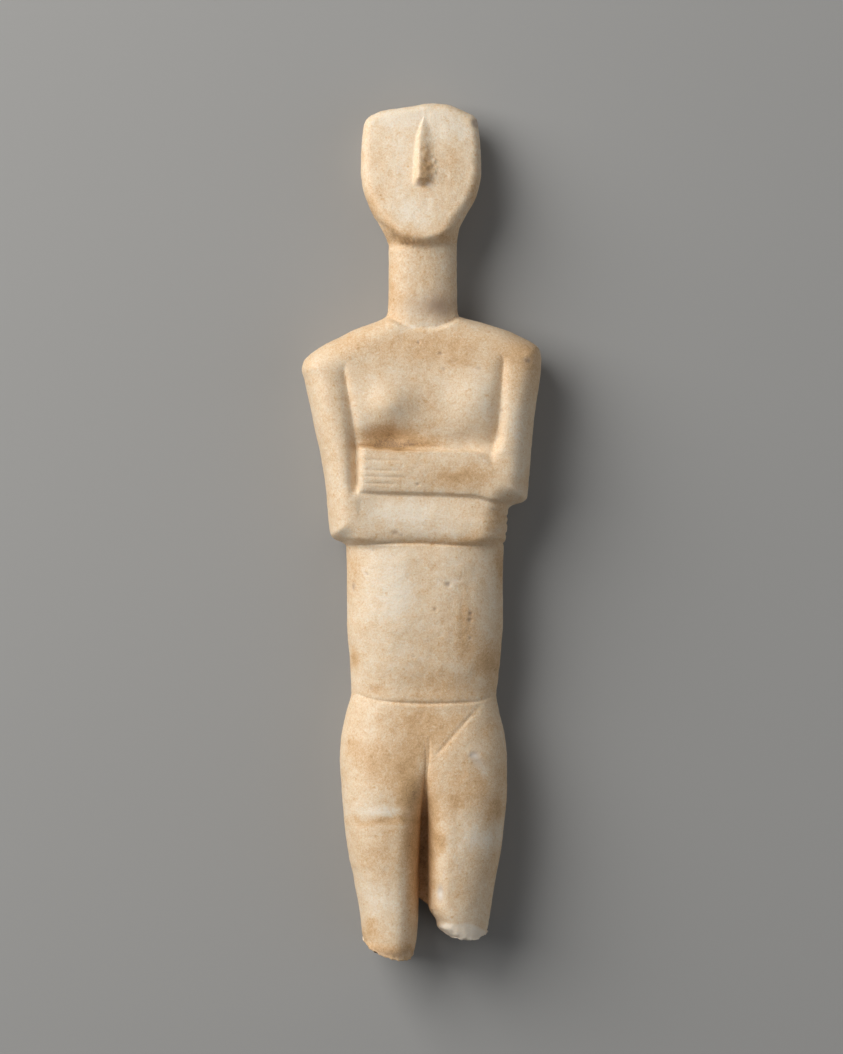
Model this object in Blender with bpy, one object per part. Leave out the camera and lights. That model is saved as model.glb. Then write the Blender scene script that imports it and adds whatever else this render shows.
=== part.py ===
"""A marble figurine with folded arms, broken off at the knees, lying on its back.

It is one piece of stone. The shape is worked out in front view: an outline gives the place of the edge,
and the front and the back are two heights above the ground, each a function of the place. A grid whose
lines follow the carving samples both, the two sheets meet along the outline, and a band closes the broken
ends of the thighs.
"""

import bmesh
import bpy
import numpy as np

# Driving sizes, in metres
LENGTH = 0.250
SHOULDER_WIDTH = 0.070
DEPTH = 0.025

# The carver's parts: 1000 to the length, 280 to the shoulders' width and 100 to the depth. Every place
# below is in them: x to the right of the middle, y down from the crown, z up from the ground.
ALONG = LENGTH / 1000
ACROSS = SHOULDER_WIDTH / 280
DEEP = DEPTH / 100

MARBLE = (0.80, 0.68, 0.52, 1.0)
MARBLE_ROUGHNESS = 0.55

# Levels down the body
NOSE_TOP, NOSE_END, CHIN = 16, 98, 163
NECK_TOP, NECK_END = 170, 252
SHOULDER_LEVEL, ELBOW_LEVEL = 313, 478
HIP_TOP, HIP_FULL = 690, 712
CROTCH, DEEP_CLEFT = 766, 806

# Outline: where the left and right edges stand at each level
LEFT_EDGE = [
    (14, -59), (20, -65), (27, -67.5), (50, -70), (80, -71), (100, -68.5), (117, -63.5), (136, -54.5),
    (150, -46.5), (161, -40.5), (172, -38.5), (225, -38.5), (243, -39.2), (250, -41), (254, -47),
    (260, -63), (266, -80), (272, -91), (284, -115), (296, -132), (303, -138), (313, -140), (324, -137),
    (371, -127), (441, -113), (490, -108.5), (504, -106.5), (510, -102), (515, -91), (518, -88.2),
    (560, -87.2), (610, -87), (640, -84.5), (675, -82.3), (690, -81.8), (700, -84.5), (722, -90),
    (745, -94.2), (768, -95.3), (792, -94), (838, -90.5), (873, -86), (908, -79), (945, -72.5),
    (979, -68.4),
]
RIGHT_EDGE = [
    (14, 60), (20, 65), (27, 66.5), (50, 69), (80, 69.5), (100, 67.2), (117, 61), (136, 50), (150, 43.5),
    (161, 41.5), (172, 41.2), (225, 41.5), (243, 42), (250, 44), (254, 58), (260, 79), (266, 98),
    (272, 112), (280, 128), (286, 136), (292, 139), (300, 140), (313, 139.6), (325, 138), (371, 131.5),
    (441, 125.6), (462, 123.5), (467, 118), (471, 106), (476, 101.5), (500, 100), (512, 98), (518, 96),
    (560, 95), (605, 95.3), (640, 93), (675, 89.5), (692, 87.5), (700, 88.5), (722, 93.5), (745, 98),
    (768, 100), (802, 100), (838, 97), (873, 93), (908, 86.5), (945, 80.5), (973, 76.5),
]
CROWN = [
    (-59, 14), (-47, 8.8), (-32, 6.6), (-19, 4.2), (-8, 2.6), (6, 0), (22, 0.6), (30, 1.4), (38, 4),
    (48, 8.2), (60, 14),
]

# Guides down the body, which the grid's columns follow: the inner line of each arm, and the two feet of
# the nose, which further down are the two sides of the cleft between the legs
LEFT_LINE = [
    (0, -40), (117, -38), (172, -24), (250, -26), (313, -89.4), (340, -85.3), (382, -79), (406, -76.6),
    (452, -75.4), (517, -66), (600, -50), (700, -48), (770, -46), (979, -40),
]
RIGHT_LINE = [
    (0, 45), (117, 42), (172, 26), (250, 28), (301, 95.3), (331, 93), (362, 90.6), (401, 86), (414, 82),
    (463, 80), (517, 72), (600, 56), (700, 54), (770, 54), (973, 50),
]
MIDDLE_LEFT = [
    (0, 0), (14, 2.4), (29, -2.4), (46, -6.6), (80, -8.6), (98, -9.6), (120, -6), (172, -5), (700, 0),
    (766, 5), (782, 4), (803, 2), (843, -0.6), (892, -2.9), (936, -3.5), (974, -5.3), (996, -9.4),
]
MIDDLE_RIGHT = [
    (0, 8), (17, 5.3), (37, 11), (59, 13.6), (83, 15.2), (100, 14.6), (120, 10), (172, 7), (700, 12),
    (766, 9), (788, 6.4), (850, 7), (936, 7.6), (944, 10), (956, 17), (962, 18), (967, 22.8), (973, 31),
]

# Lines across the body, which the grid's rows follow
JAW_DROP, JAW_REACH = 38, 63
NECK_BASE = [(-41, 252), (-20, 262), (-5, 266.5), (15, 265.5), (29, 261), (46, 252)]
UPPER_FOREARM = [(-76, 403), (-29, 407), (47, 408), (70, 410), (82, 414)]
LOWER_FOREARM = [(-76, 456), (8, 458.3), (60, 460.5), (80, 465), (103, 468)]
BELLY_TOP = [(-86, 518), (-38, 515), (-11, 514.4), (43, 517), (96, 518.4)]
WAIST = [(-81, 689), (-47, 698.5), (6, 701.3), (60, 699.6), (88, 692.6)]
LEFT_BREAK = [(-68.4, 979), (-55, 990), (-34, 998), (-25, 1000), (-16, 1000), (-9.4, 996)]
RIGHT_BREAK = [(31, 973), (45, 975.4), (59, 976.6), (72, 973), (76.5, 970)]
WEB_BREAK = [(-4, 928), (1, 932), (8, 937)]
GROIN_LEFT = [(703, -46), (739, -25), (762, -11)]
GROIN_RIGHT = [(703, 68.4), (733, 41.5), (766, 13)]

# Heights down the body: front and back on the middle, and the outline between them
FACE_AT_CROWN, FACE_AT_CHIN = 47, 91
NECK_FRONT = 75
FOREARMS = 98
CHEST = [(250, 74), (266, 78), (300, 85), (340, 88), (400, 88), (456, 90)]
ARMS = [(250, 74), (266, 78), (300, 86), (350, 92), (410, 95), (470, 97), (520, 97)]
BELLY = [(510, 89), (540, 92), (600, 94), (650, 92), (690, 88), (720, 90)]
THIGHS = [(690, 88), (730, 92), (770, 97), (810, 100), (860, 100), (940, 96), (1000, 92)]
EDGE_HEIGHT = [
    (0, 30), (100, 50), (150, 56), (178, 46), (250, 44), (300, 40), (500, 42), (700, 42), (1000, 46),
]
BACK = [
    (0, 6), (25, -1), (60, -2), (95, -1), (130, 6), (172, 16), (240, 13), (275, 2), (300, -1.5),
    (390, -1.5), (440, 1), (560, 7), (650, 6), (700, 0), (740, -2), (790, -1.5), (840, 2), (1000, 10),
]
FRONT_ROUND = [
    (0, 13), (120, 17), (160, 22), (250, 20), (300, 30), (508, 32), (522, 76), (700, 80), (770, 70),
    (830, 56),
    (1000, 48),
]
BACK_ROUND = [
    (0, 34), (60, 50), (172, 42), (250, 36), (300, 32), (510, 34), (520, 60), (700, 66), (1000, 46),
]
NECK_ROUND, NECK_MIDDLE = 42, 44
FORWARD_CLEFT = [(738, 0), (766, 4), (785, 12), (803, 27), (825, 44), (850, 52), (936, 50), (1000, 46)]
REAR_CLEFT = [(690, 0), (720, 4), (780, 8), (830, 15), (880, 23), (936, 26), (1000, 24)]
CLEFT_LEFT_ROUND = [(738, 34), (790, 28), (830, 25), (1000, 22)]
CLEFT_RIGHT_ROUND = [(738, 32), (780, 26), (820, 22), (1000, 21)]
CLEFT_REAR_ROUND = 17

# Relief
NOSE_HEIGHT, NOSE_LEFT_FLANK, NOSE_RIGHT_FLANK = 14, 0.24, 0.6
BREASTS = [(-38, 354, 25, 24, 11), (62, 352, 30, 32, 9)]
HOLLOWS_UNDER_BREASTS = [(-40, 395, 32, 13, -10), (58, 397, 40, 12, -4)]
INCISION_DEPTH, INCISION_WIDTH = 3, 2.8
SPINE_START, SPINE_END = 270, 700
SPINE_DEPTH, SPINE_WIDTH, BACK_GROOVE_WIDTH = 4, 5, 3.4
BREAK_ROUGHNESS = 2.5
BAND_ROWS = 4


def through(points, place):
    """Smooth curve through (place, value) pairs that never overshoots: cubic pieces whose slope at a
    point is the harmonic mean of the slopes on its two sides, and level where those disagree."""
    knots, values = np.array(points, float).T
    steps = np.diff(knots)
    slopes = np.diff(values) / steps
    before, after = slopes[:-1], slopes[1:]
    agree = before * after > 0
    inner = np.zeros_like(before)
    inner[agree] = 2 * before[agree] * after[agree] / (before + after)[agree]
    tangents = np.concatenate([slopes[:1], inner, slopes[-1:]])
    place = np.clip(place, knots[0], knots[-1])
    piece = np.clip(np.searchsorted(knots, place) - 1, 0, len(steps) - 1)
    step = steps[piece]
    t = (place - knots[piece]) / step
    return (
        values[piece] * (1 + 2 * t) * (1 - t) ** 2
        + tangents[piece] * step * t * (1 - t) ** 2
        + values[piece + 1] * t**2 * (3 - 2 * t)
        - tangents[piece + 1] * step * t**2 * (1 - t)
    )


def ramp(start, end, place):
    """0 before start, 1 after end, and a smooth S between them."""
    t = np.clip((place - start) / (end - start), 0, 1)
    return t * t * (3 - 2 * t)


def rounded(t):
    """Worn edge: 0 at t = 0, rising steeply, then easing into 1 at t = 1 without a line where it stops."""
    return np.sqrt(1 - (1 - np.clip(t, 0, 1)) ** 2.5)


def lower_of(a, b, blend):
    """The lower of two heights, with the ridge where they cross rounded over."""
    near = np.clip(1 - np.abs(a - b) / blend, 0, 1)
    return np.minimum(a, b) - near**2 * blend / 4


def higher_of(a, b, blend):
    return -lower_of(-a, -b, blend)


def bump(x, y, mound):
    """Bell-shaped mound or hollow: (x, y, half-width, half-length, height)."""
    middle_x, middle_y, wide, long, height = mound
    return height * np.exp(-(((x - middle_x) / wide) ** 2) - ((y - middle_y) / long) ** 2)


def groove(across, depth, before, after):
    """V-shaped cut with a worn lip, across being the signed distance from its line. Its two walls may
    differ in width."""
    width = np.where(across < 0, before, after)
    return -depth * np.exp(-np.abs(across / width) ** 1.5)


def jaw_line(x):
    """Lower border of the face: a broad U."""
    return CHIN - JAW_DROP * np.minimum(np.abs(x) / JAW_REACH, 1) ** 3


def outline():
    """The outline as one open line, up the left side, over the crown and down the right side."""
    left_levels = np.linspace(LEFT_EDGE[-1][0], LEFT_EDGE[0][0], 480)
    right_levels = np.linspace(RIGHT_EDGE[0][0], RIGHT_EDGE[-1][0], 480)
    crown_places = np.linspace(CROWN[0][0], CROWN[-1][0], 60)[1:-1]
    return np.concatenate([
        np.stack([through(LEFT_EDGE, left_levels), left_levels], 1),
        np.stack([crown_places, through(CROWN, crown_places)], 1),
        np.stack([through(RIGHT_EDGE, right_levels), right_levels], 1),
    ])


def edge_distance(x, y):
    """How far each place is from the outline, taken segment by segment."""
    line = outline()
    nearest = np.full(x.shape, np.inf)
    for (ax, ay), (bx, by) in zip(line[:-1], line[1:]):
        length_squared = (bx - ax) ** 2 + (by - ay) ** 2
        t = np.clip(((x - ax) * (bx - ax) + (y - ay) * (by - ay)) / length_squared, 0, 1)
        nearest = np.minimum(nearest, np.hypot(x - ax - t * (bx - ax), y - ay - t * (by - ay)))
    return nearest


def nose(x, y):
    """Long wedge that starts as nothing under the brow and ends in a short step: a narrow flank on the
    left, a wide one on the right and a worn back between them."""
    left, right = through(MIDDLE_LEFT, y), through(MIDDLE_RIGHT, y)
    share = (x - left) / np.maximum(right - left, 0.1)
    flanks = lower_of(share / NOSE_LEFT_FLANK, (1 - share) / NOSE_RIGHT_FLANK, 0.3)
    flanks = lower_of(flanks, np.ones_like(x), 0.4)
    height = NOSE_HEIGHT * np.clip((y - NOSE_TOP) / (NOSE_END - NOSE_TOP), 0, 1) ** 0.9
    return higher_of(flanks, np.zeros_like(x), 0.5) * height * (1 - ramp(NOSE_END - 9, NOSE_END + 3, y))


def head_front(x, y):
    """Flat face that leans back to the crown, cut off under the jaw by a slope that runs down to the
    neck."""
    face = FACE_AT_CROWN + (FACE_AT_CHIN - FACE_AT_CROWN) * y / CHIN - 0.0012 * x**2
    under_jaw = face - 2.2 * (y - jaw_line(x))
    neck = NECK_MIDDLE + (NECK_FRONT - NECK_MIDDLE) * np.sqrt(np.clip(1 - (x / NECK_ROUND) ** 2, 0, 1))
    behind_face = neck - np.maximum(CHIN - y, 0)
    return higher_of(lower_of(face, under_jaw, 13), behind_face, 6) + nose(x, y)


def chest_front(x, y):
    """Flat chest with two low breasts between the upper arms, which stand out from it further down."""
    arm_left, arm_right = through(LEFT_LINE, y), through(RIGHT_LINE, y)
    chest = through(CHEST, y) + sum(bump(x, y, mound) for mound in BREASTS + HOLLOWS_UNDER_BREASTS)
    arms = np.maximum(ramp(4, -10, x - arm_left), ramp(-4, 10, x - arm_right)) * ramp(300, 350, y)
    arms = np.maximum(arms, ramp(440, 466, y))
    top = chest + (through(ARMS, y) - chest) * arms
    top += ramp(300, 335, y) * (1 - ramp(444, 466, y)) * groove(x - arm_left, 6, 8, 4)
    return top + ramp(286, 316, y) * (1 - ramp(396, 424, y)) * groove(x - arm_right, 5, 7, 5)


def forearms_front(x, y, chest):
    """The two forearms laid over the chest and arms. Each is a ramp at its upper edge, and it fades where
    it runs out of its own upper arm: the upper one at the right, the lower one at the left."""
    upper, lower, belly_top = through(UPPER_FOREARM, x), through(LOWER_FOREARM, x), through(BELLY_TOP, x)
    fade = 3 + 21 * ramp(62, 92, x)
    upper_band = FOREARMS - 3 * ((y - (upper + lower) / 2) / 27) ** 2
    top = chest + (upper_band - chest) * ramp(-fade, fade, y - upper) * ramp(-75, -69, x)
    from_elbow = ramp(-98, -36, x)
    lower_band = FOREARMS - 1 - from_elbow * (6 - 4 * ramp(0, 34, y - lower)) - 4 * ramp(66, 104, x)
    beside_arm = ramp(-82, -70, x)
    top += (lower_band - top) * np.maximum(ramp(-3, 3.5, y - lower) * beside_arm, ramp(0, 40, y - lower))
    return top - 9 * (1 - rounded((belly_top - y) / 20))


def trunk_front(x, y):
    """Chest, arms and forearms, then the belly, which lies a little deeper."""
    top = forearms_front(x, y, chest_front(x, y))
    belly = through(BELLY, y) - 3 * (x / 92) ** 2
    top += (belly - top) * ramp(-1, 3.5, y - through(BELLY_TOP, x))
    return top + groove(y - through(WAIST, x), INCISION_DEPTH, INCISION_WIDTH, INCISION_WIDTH)


def hips_front(x, y):
    """Two full thighs below the waist, with the flat triangle of the groin between them: cut in along its
    right side, and only dipped along its left one."""
    left_line, right_line = through(GROIN_LEFT, y), through(GROIN_RIGHT, y)
    inside = ramp(22, -12, left_line - x) * ramp(20, -14, x - right_line)
    inside *= 1 - ramp(CROTCH - 16, CROTCH + 24, y)
    top = through(THIGHS, y) - 2 * inside
    incised = ramp(697, 704, y) * (1 - ramp(CROTCH - 12, CROTCH, y))
    top += incised * groove(0.75 * (x - right_line), INCISION_DEPTH, INCISION_WIDTH, INCISION_WIDTH)
    return top + groove(y - through(WAIST, x), INCISION_DEPTH, INCISION_WIDTH, INCISION_WIDTH)


def cleft_share(x, y, left_round, right_round):
    """1 on the web between the legs, falling steeply beside it and then slowly to 0, where each leg is
    full."""
    left, right = through(MIDDLE_LEFT, y), through(MIDDLE_RIGHT, y)
    return 1 - rounded(np.maximum((left - x) / left_round, (x - right) / right_round))


def front_height(x, y, edge):
    """Height of the front: head, neck, trunk and thighs, each running into the next."""
    edge_height = through(EDGE_HEIGHT, y)
    rounding = rounded(edge / through(FRONT_ROUND, y))
    head = edge_height + (head_front(x, y) - edge_height) * rounding
    neck = edge_height + (NECK_FRONT - edge_height) * rounded(edge / NECK_ROUND)
    trunk_top = trunk_front(x, y) + (hips_front(x, y) - trunk_front(x, y)) * ramp(HIP_TOP, HIP_FULL, y)
    trunk = edge_height + (trunk_top - edge_height) * rounding
    height = head + (neck - head) * ramp(NECK_TOP - 8, NECK_TOP + 6, y)
    base = y - through(NECK_BASE, x)
    height += (trunk - height) * ramp(-4, 4, base) * ramp(NECK_END - 8, NECK_END + 4, y)
    cleft = cleft_share(x, y, through(CLEFT_LEFT_ROUND, y), through(CLEFT_RIGHT_ROUND, y))
    return height - through(FORWARD_CLEFT, y) * cleft


def back_height(x, y, edge):
    """Height of the back: nearly flat, with the spine and the arms' inner lines as grooves, resting on
    the back of the head, the shoulders and the seat."""
    edge_height = through(EDGE_HEIGHT, y)
    spine = ramp(SPINE_START, SPINE_START + 50, y) * (1 - ramp(SPINE_END - 60, SPINE_END + 20, y))
    bottom = through(BACK, y) - spine * groove(x - 4, SPINE_DEPTH, SPINE_WIDTH, SPINE_WIDTH)
    arms = ramp(SHOULDER_LEVEL + 7, SHOULDER_LEVEL + 37, y) * (1 - ramp(ELBOW_LEVEL, ELBOW_LEVEL + 30, y))
    for arm_line in (LEFT_LINE, RIGHT_LINE):
        bottom -= arms * groove(x - through(arm_line, y), SPINE_DEPTH, BACK_GROOVE_WIDTH, BACK_GROOVE_WIDTH)
    height = edge_height - (edge_height - bottom) * rounded(edge / through(BACK_ROUND, y))
    height += through(REAR_CLEFT, y) * cleft_share(x, y, CLEFT_REAR_ROUND, CLEFT_REAR_ROUND)
    return np.maximum(height, 0)


def level(value):
    """A straight row."""
    return lambda x: np.full_like(x, value)


def line(points, shift=0):
    """A row or column along the curve through points, shifted by so many parts."""
    return lambda place: through(points, place) + shift


def jaw_row(shift):
    return lambda x: jaw_line(x) + shift


def break_line(x):
    """Lower end of the stumps: the left one for places left of the cleft, the right one beyond it."""
    return np.where(x < 12, through(LEFT_BREAK, x), through(RIGHT_BREAK, x))


# Guides of the grid: a name, the curve, how many grid lines lead to the next guide, and their crowding. A
# crowd of 2 draws them towards the first guide, -2 towards the second, and 1 spaces them evenly.
GUIDE_GAP = 4.5
COLUMN_GUIDES = [
    ("left edge", line(LEFT_EDGE), 4, 2),
    ("left arm", line(LEFT_LINE, -GUIDE_GAP), 1, 1),
    ("left groove", line(LEFT_LINE), 1, 1),
    ("chest, left", line(LEFT_LINE, GUIDE_GAP), 5, -1.5),
    ("middle, left", line(MIDDLE_LEFT), 3, 1),
    ("middle, right", line(MIDDLE_RIGHT), 5, 1.5),
    ("chest, right", line(RIGHT_LINE, -GUIDE_GAP), 1, 1),
    ("right groove", line(RIGHT_LINE), 1, 1),
    ("right arm", line(RIGHT_LINE, GUIDE_GAP), 4, -2),
    ("right edge", line(RIGHT_EDGE), 0, 1),
]
ROW_GUIDES = [
    ("crown", line(CROWN), 6, 2),
    ("brow", level(50), 4, 1),
    ("nose tip", level(NOSE_END - 4), 1, 1),
    ("under the nose", level(NOSE_END + 4), 3, 1),
    ("jaw", jaw_row(-5), 1, 1),
    ("jaw border", jaw_row(0), 1, 1),
    ("under the jaw", jaw_row(4), 2, 1),
    ("neck", level(NECK_TOP + 5), 5, 1),
    ("above the neck's base", line(NECK_BASE, -7), 1, 1),
    ("neck's base", line(NECK_BASE, -1), 1, 1),
    ("below the neck's base", line(NECK_BASE, 5), 9, 1),
    ("shoulders", level(SHOULDER_LEVEL), 7, 1),
    ("above the upper forearm", line(UPPER_FOREARM, -3), 1, 1),
    ("upper forearm's edge", line(UPPER_FOREARM), 1, 1),
    ("upper forearm", line(UPPER_FOREARM, 3), 4, 1),
    ("above the lower forearm", line(LOWER_FOREARM, -3), 1, 1),
    ("lower forearm's edge", line(LOWER_FOREARM, 0.5), 1, 1),
    ("lower forearm", line(LOWER_FOREARM, 4.5), 3, 1),
    ("elbow", level(ELBOW_LEVEL), 3, 1),
    ("under side of the forearm", line(BELLY_TOP, -13), 3, 1),
    ("above the belly", line(BELLY_TOP, -1), 1, 1),
    ("belly", line(BELLY_TOP, 3.5), 9, 1),
    ("above the waist", line(WAIST, -4), 1, 1),
    ("waist", line(WAIST), 1, 1),
    ("below the waist", line(WAIST, 4), 4, 1),
    ("crotch", level(CROTCH - 8), 5, 1),
    ("deep cleft", level(DEEP_CLEFT), 7, 1),
    ("web's end", line(WEB_BREAK), 4, 1),
    ("break", break_line, 0, 1),
]


def stations(guides):
    """Where each grid line stands, as (number of the guide before it, share of the way to the next
    guide)."""
    lines = []
    for number, (_, _, count, crowd) in enumerate(guides):
        for k in range(count):
            share = k / count
            lines.append((number, share**crowd if crowd > 0 else 1 - (1 - share) ** -crowd))
    return lines + [(len(guides) - 1, 0.0)]


def between_guides(guides, place):
    """Every grid line's value at place, an array with one entry for each grid node."""
    values = [curve(place) for _, curve, _, _ in guides]
    return lambda number, share: values[number] if share == 0 else (
        values[number] * (1 - share) + values[number + 1] * share
    )


def guide_index(guides, name):
    """Number of the grid line that follows the guide with this name."""
    index = 0
    for guide_name, _, count, _ in guides:
        if guide_name == name:
            return index
        index += count
    raise ValueError(f"no guide called {name}")


def layout():
    """Places (x, y) of all grid nodes. The columns need the level and the rows need the place across, so
    the two are worked out in turn until they settle."""
    columns, rows = stations(COLUMN_GUIDES), stations(ROW_GUIDES)
    x = np.zeros((len(rows), len(columns)))
    y = x
    for _ in range(12):
        row_value = between_guides(ROW_GUIDES, x)
        y = np.stack([row_value(*rows[i])[i] for i in range(len(rows))])
        column_value = between_guides(COLUMN_GUIDES, y)
        x = np.stack([column_value(*columns[j])[:, j] for j in range(len(columns))], axis=1)
    return x, y


def to_metres(x, y, z):
    return np.stack([x * ACROSS, (500 - y) * ALONG, z * DEEP], axis=-1)


def rim_path(rows, columns):
    """Grid nodes round the open lower end: along the left break, up the left leg's inner side, across the
    web, down the right leg's inner side and along the right break."""
    last, web = rows - 1, guide_index(ROW_GUIDES, "web's end")
    left, right = guide_index(COLUMN_GUIDES, "middle, left"), guide_index(COLUMN_GUIDES, "middle, right")
    path = [(last, j) for j in range(left)] + [(i, left) for i in range(last, web, -1)]
    path += [(web, j) for j in range(left, right)] + [(i, right) for i in range(web, last)]
    return path + [(last, j) for j in range(right, columns)]


def rim_band(points, front, back, front_index, back_index):
    """Faces from the front sheet's rim to the back sheet's, with the broken ends left uneven between
    them."""
    rows, columns = front_index.shape
    added, bars = [], []
    for number, node in enumerate(rim_path(rows, columns)):
        bar = [front_index[node]]
        for share in np.arange(1, BAND_ROWS) / BAND_ROWS:
            point = front[node] * (1 - share) + back[node] * share
            if node[0] == rows - 1:
                uneven = 1 + np.sin(2.1 * number + 6.8 * share)
                point[1] += BREAK_ROUGHNESS * ALONG * uneven * np.sin(np.pi * share)
            bar.append(len(points) + len(added))
            added.append(point)
        bars.append(bar + [back_index[node]])
    for end in (0, -1):
        bars[end] = [bars[end][0]] * (BAND_ROWS + 1)
    faces = [
        [here[k], here[k + 1], there[k + 1], there[k]]
        for here, there in zip(bars[:-1], bars[1:])
        for k in range(BAND_ROWS)
    ]
    return np.concatenate([points, np.array(added)]), faces


def figurine_mesh():
    """Front sheet, back sheet and the band round the broken end, as points and faces."""
    x, y = layout()
    rows, columns = x.shape
    edge = edge_distance(x, y)
    edge[:, 0] = edge[:, -1] = edge[0, :] = 0
    front = to_metres(x, y, front_height(x, y, edge))
    back = to_metres(x, y, back_height(x, y, edge))

    points = np.concatenate([front.reshape(-1, 3), back.reshape(-1, 3)])
    front_index = np.arange(rows * columns).reshape(rows, columns)
    back_index = front_index + rows * columns
    for shared in ((slice(None), 0), (slice(None), -1), (0, slice(None))):
        back_index[shared] = front_index[shared]

    web = guide_index(ROW_GUIDES, "web's end")
    left, right = guide_index(COLUMN_GUIDES, "middle, left"), guide_index(COLUMN_GUIDES, "middle, right")
    faces = []
    for i in range(rows - 1):
        for j in range(columns - 1):
            if i >= web and left <= j < right:
                continue
            corners = [(i, j), (i + 1, j), (i + 1, j + 1), (i, j + 1)]
            faces.append([front_index[corner] for corner in corners])
            faces.append([back_index[corner] for corner in corners[:1] + corners[:0:-1]])

    points, band_faces = rim_band(points, front, back, front_index, back_index)
    return points, [list(dict.fromkeys(int(v) for v in face)) for face in faces + band_faces]


def marble():
    material = bpy.data.materials.new("marble")
    material.use_nodes = True
    shader = material.node_tree.nodes["Principled BSDF"]
    shader.inputs["Base Color"].default_value = MARBLE
    shader.inputs["Roughness"].default_value = MARBLE_ROUGHNESS
    shader.inputs["Metallic"].default_value = 0.0
    return material


def add_figurine(collection):
    points, faces = figurine_mesh()
    mesh = bpy.data.meshes.new("figurine")
    mesh.from_pydata(points.tolist(), [], [face for face in faces if len(face) > 2])
    shape = bmesh.new()
    shape.from_mesh(mesh)
    loose = [vertex for vertex in shape.verts if not vertex.link_faces]
    bmesh.ops.delete(shape, geom=loose, context="VERTS")
    bmesh.ops.recalc_face_normals(shape, faces=shape.faces)
    shape.to_mesh(mesh)
    shape.free()
    mesh.shade_smooth()
    mesh.set_sharp_from_angle(angle=np.radians(50))
    mesh.materials.append(marble())
    figurine = bpy.data.objects.new("figurine", mesh)
    collection.objects.link(figurine)
    return figurine


def main():
    for old in list(bpy.data.objects):
        bpy.data.objects.remove(old, do_unlink=True)
    collection = bpy.data.collections.new("marble_figurine")
    bpy.context.scene.collection.children.link(collection)
    add_figurine(collection)


main()
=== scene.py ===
# %% [markdown]
# # A marble figurine with folded arms
#
# The object is a small female figure of fine-grained marble, carved from one slab about two and a half
# centimetres thick, and broken off at the knees. It can't stand, so it lies on its back and the camera
# looks straight down on it, as the photograph does.
#
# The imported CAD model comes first. It fixes where the figure lies and how large it is. Everything made
# below is worked out from its box, and at the end one finely carved piece stands in its place.

import bpy
import numpy as np
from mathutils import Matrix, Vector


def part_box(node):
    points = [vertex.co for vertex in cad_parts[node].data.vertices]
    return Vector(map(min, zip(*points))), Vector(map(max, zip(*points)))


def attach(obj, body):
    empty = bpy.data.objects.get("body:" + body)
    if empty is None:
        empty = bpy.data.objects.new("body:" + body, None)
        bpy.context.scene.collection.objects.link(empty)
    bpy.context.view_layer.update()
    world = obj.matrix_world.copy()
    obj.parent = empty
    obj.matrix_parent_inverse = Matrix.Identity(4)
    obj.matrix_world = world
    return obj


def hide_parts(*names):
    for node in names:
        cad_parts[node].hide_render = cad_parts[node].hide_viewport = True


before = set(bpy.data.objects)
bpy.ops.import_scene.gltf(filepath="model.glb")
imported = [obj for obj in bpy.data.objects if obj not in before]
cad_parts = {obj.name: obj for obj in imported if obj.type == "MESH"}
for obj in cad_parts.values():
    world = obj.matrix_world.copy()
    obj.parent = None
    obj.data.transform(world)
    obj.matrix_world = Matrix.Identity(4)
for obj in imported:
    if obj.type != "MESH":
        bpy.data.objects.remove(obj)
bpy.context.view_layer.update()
low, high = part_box("figurine")
print("CAD figurine, metres:", [round(high[i] - low[i], 4) for i in range(3)])

# %% [markdown]
# ## The carver's parts
#
# A carver lays a figure out in shares of its own height. Here the length is cut into 1000 parts, the
# width over the shoulders into 280 and the depth into 100, so that each part is a quarter of a millimetre
# every way. All places below are in these parts: x to the right of the middle, y down from the crown, z
# up from the ground.

# %% Parts and metres
ACROSS = (high.x - low.x) / 280
ALONG = (high.y - low.y) / 1000
DEEP = (high.z - low.z) / 100
MIDDLE = (high.x + low.x) / 2


def to_metres(x, y, z):
    """Points in metres: x and z are scaled, and y is counted from the crown towards the feet, so it is
    turned round."""
    return np.stack([MIDDLE + x * ACROSS, high.y - y * ALONG, low.z + z * DEEP], axis=-1)


print("one part is", round(ALONG * 1000, 3), "mm")

# %% [markdown]
# ## Camera
#
# A museum photograph of a flat object is taken from far off with a long lens, so that the near and far
# parts come out at one scale. The camera here hangs 1.4 m above the figure. Its angle of view follows
# from how much of the picture's height the figure fills.

# %% Camera
PICTURE_WIDTH, PICTURE_HEIGHT = 843, 1054
CROWN_PIXEL, STUMP_PIXEL = 102.5, 958
MIDDLE_PIXEL = 421.5
CAMERA_HEIGHT = 1.4
OUTLINE_HEIGHT = 0.011

pixel = (high.y - low.y) / (STUMP_PIXEL - CROWN_PIXEL)
distance = CAMERA_HEIGHT - OUTLINE_HEIGHT
camera = bpy.data.objects.new("camera", bpy.data.cameras.new("camera"))
camera.data.sensor_width = 36
camera.data.lens = camera.data.sensor_width * distance / (PICTURE_HEIGHT * pixel)
camera.data.clip_start, camera.data.clip_end = 0.05, 20
camera.location = (
    MIDDLE + (PICTURE_WIDTH / 2 - MIDDLE_PIXEL) * pixel,
    high.y - (PICTURE_HEIGHT / 2 - CROWN_PIXEL) * pixel,
    CAMERA_HEIGHT,
)
bpy.context.scene.collection.objects.link(camera)
bpy.context.scene.camera = camera
print("lens", round(camera.data.lens, 1), "mm; one pixel is", round(pixel * 1000, 3), "mm")

# %% [markdown]
# ## Floor and light
#
# The figure lies on a plain pale grey board. One large soft light stands to the upper left. It spans some
# fifty degrees of the sky, so the shadow is dark only close to the stone and then fades over twice the
# figure's depth. A much weaker light, low on the right, and a faint even sky keep the shaded sides from
# going black.

# %% Floor
FLOOR_SIZE = 6.0
FLOOR_GREY = (0.36, 0.356, 0.348, 1)

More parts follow.
